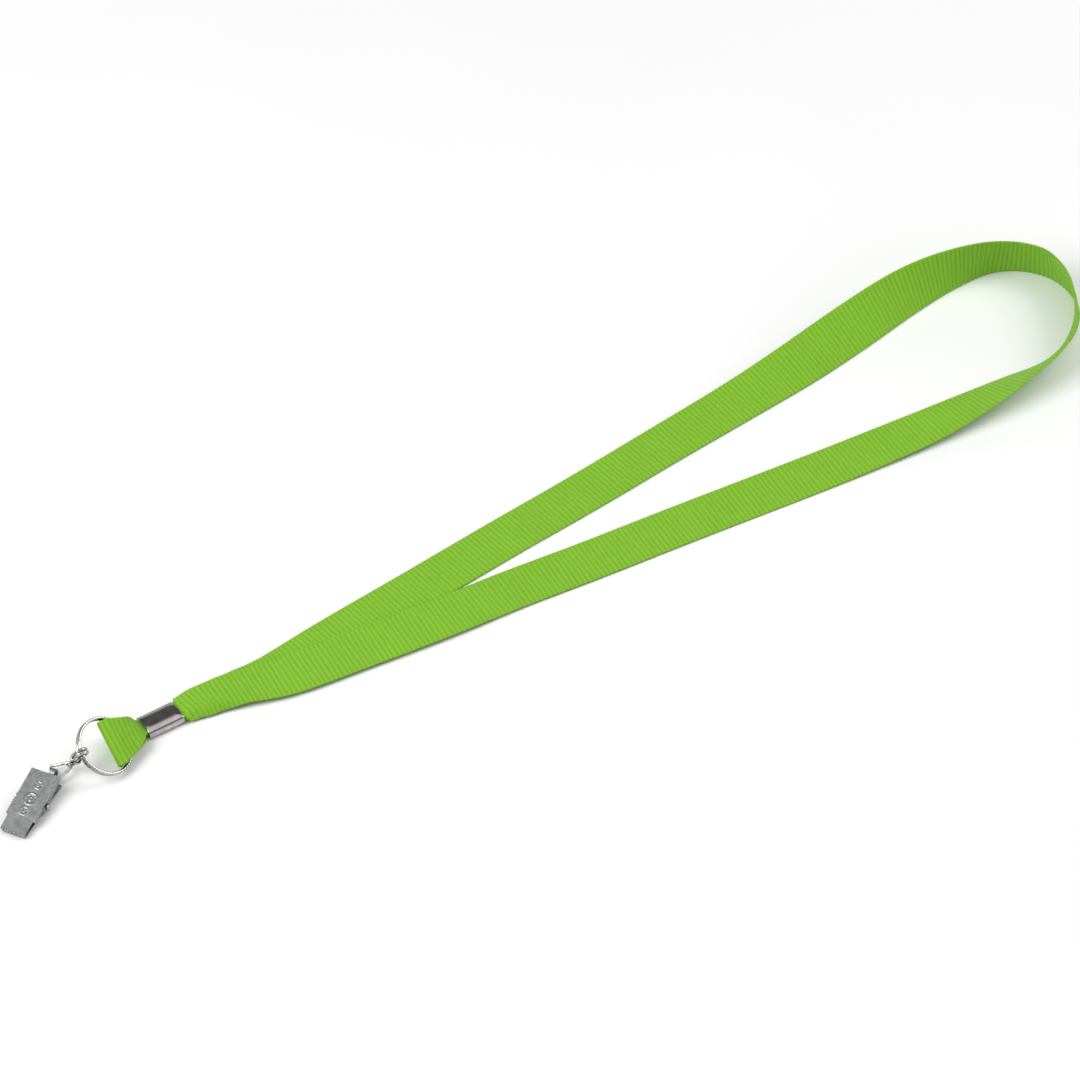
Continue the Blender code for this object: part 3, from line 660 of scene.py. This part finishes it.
def tooth(middle, side, tall, out):
    """A wedge on a face: its base is side by tall about the middle and its ridge stands out."""
    low, high = middle - tall, middle + tall
    return [low - side, low + side, high + side, high - side,
            low + out + tall * 0.2, high + out * 0.85 - tall * 0.1]


def build_jaw_teeth():
    """The wedge-shaped teeth round the front jaw's mouth and along its sides."""
    x, low, high = LIP_FACE
    tall = Vector((0, 0, (high - low) / 2))
    wedges = []
    for i in range(LIP_TEETH):
        middle = Vector((x, (i - (LIP_TEETH - 1) / 2) * LIP_PITCH, (low + high) / 2))
        wedges.append(tooth(middle, Vector((0, LIP_PITCH * 0.48, 0)), tall,
                            Vector((TOOTH_REACH, 0, 0))))
    for i in range(SIDE_TEETH):
        for side in (1, -1):
            middle = Vector((SIDE_FIRST + i * SIDE_PITCH, side * SIDE_FACE, (low + high) / 2))
            wedges.append(tooth(middle, Vector((SIDE_PITCH * 0.46, 0, 0)), tall,
                                Vector((0, side * TOOTH_REACH * 0.9, 0))))
    points, faces = [], []
    for wedge in wedges:
        n = len(points)
        points += wedge
        faces += [(n, n + 1, n + 4), (n + 1, n + 2, n + 5, n + 4), (n + 2, n + 3, n + 5),
                  (n + 3, n, n + 4, n + 5), (n + 3, n + 2, n + 1, n)]
    add_piece("jaw_teeth", on_jaw(points), faces, PRESSED, "jaw", smooth=False)


build_embossing()
build_jaw_teeth()


# --- stage -----------------------------------------------------------------------------------


def build_floor():
    mesh = bpy.data.meshes.new("floor")
    r = FLOOR_REACH
    mesh.from_pydata([(-r, -r, 0), (r, -r, 0), (r, r, 0), (-r, r, 0)], [], [(0, 1, 2, 3)])
    mesh.materials.append(floor_material())
    floor = bpy.data.objects.new("floor", mesh)
    bpy.context.scene.collection.objects.link(floor)


def area_light(name, place, size, power):
    """A rectangular softbox that faces the origin."""
    light = bpy.data.lights.new(name, "AREA")
    light.shape = "RECTANGLE"
    light.size, light.size_y = size
    light.energy = power
    lamp = bpy.data.objects.new(name, light)
    lamp.location = place
    lamp.rotation_euler = (-Vector(place)).to_track_quat("-Z", "Y").to_euler()
    bpy.context.scene.collection.objects.link(lamp)


def build_world():
    world = bpy.data.worlds.new("studio")
    bpy.context.scene.world = world
    world.use_nodes = True
    tree = world.node_tree
    sky = tree.nodes["Background"]
    place = tree.nodes.new("ShaderNodeTexCoord")
    split = tree.nodes.new("ShaderNodeSeparateXYZ")
    tree.links.new(place.outputs["Generated"], split.inputs[0])
    bands = tree.nodes.new("ShaderNodeValToRGB")
    bands.color_ramp.interpolation = "EASE"
    stops = bands.color_ramp.elements
    for position, grey in SKY_BANDS[1:-1]:
        stops.new(position)
    for stop, (position, grey) in zip(stops, SKY_BANDS):
        stop.position, stop.color = position, (grey, grey, grey, 1)
    tree.links.new(split.outputs["Z"], bands.inputs["Fac"])
    tree.links.new(bands.outputs["Color"], sky.inputs["Color"])
    sky.inputs["Strength"].default_value = 1.0


def build_camera():
    camera = bpy.data.objects.new("camera", bpy.data.cameras.new("camera"))
    bpy.context.scene.collection.objects.link(camera)
    camera.data.lens = LENS
    camera.data.sensor_width = SENSOR
    camera.data.clip_start, camera.data.clip_end = CLIP_START, CLIP_END
    a, e = VIEW_AZIMUTH, VIEW_ELEVATION
    back = Vector((sin(a) * cos(e), -cos(a) * cos(e), sin(e)))
    camera.location = VIEW_TARGET + back * VIEW_DISTANCE
    camera.rotation_euler = back.to_track_quat("Z", "Y").to_euler()
    bpy.context.scene.camera = camera


build_floor()
build_world()
area_light("key_softbox", (-1.3, 0.15, 1.3), (1.1, 1.1), 22)
area_light("fill_softbox", (1.2, -0.5, 1.3), (1.0, 1.0), 12)
build_camera()
bpy.context.scene.view_settings.view_transform = "Standard"
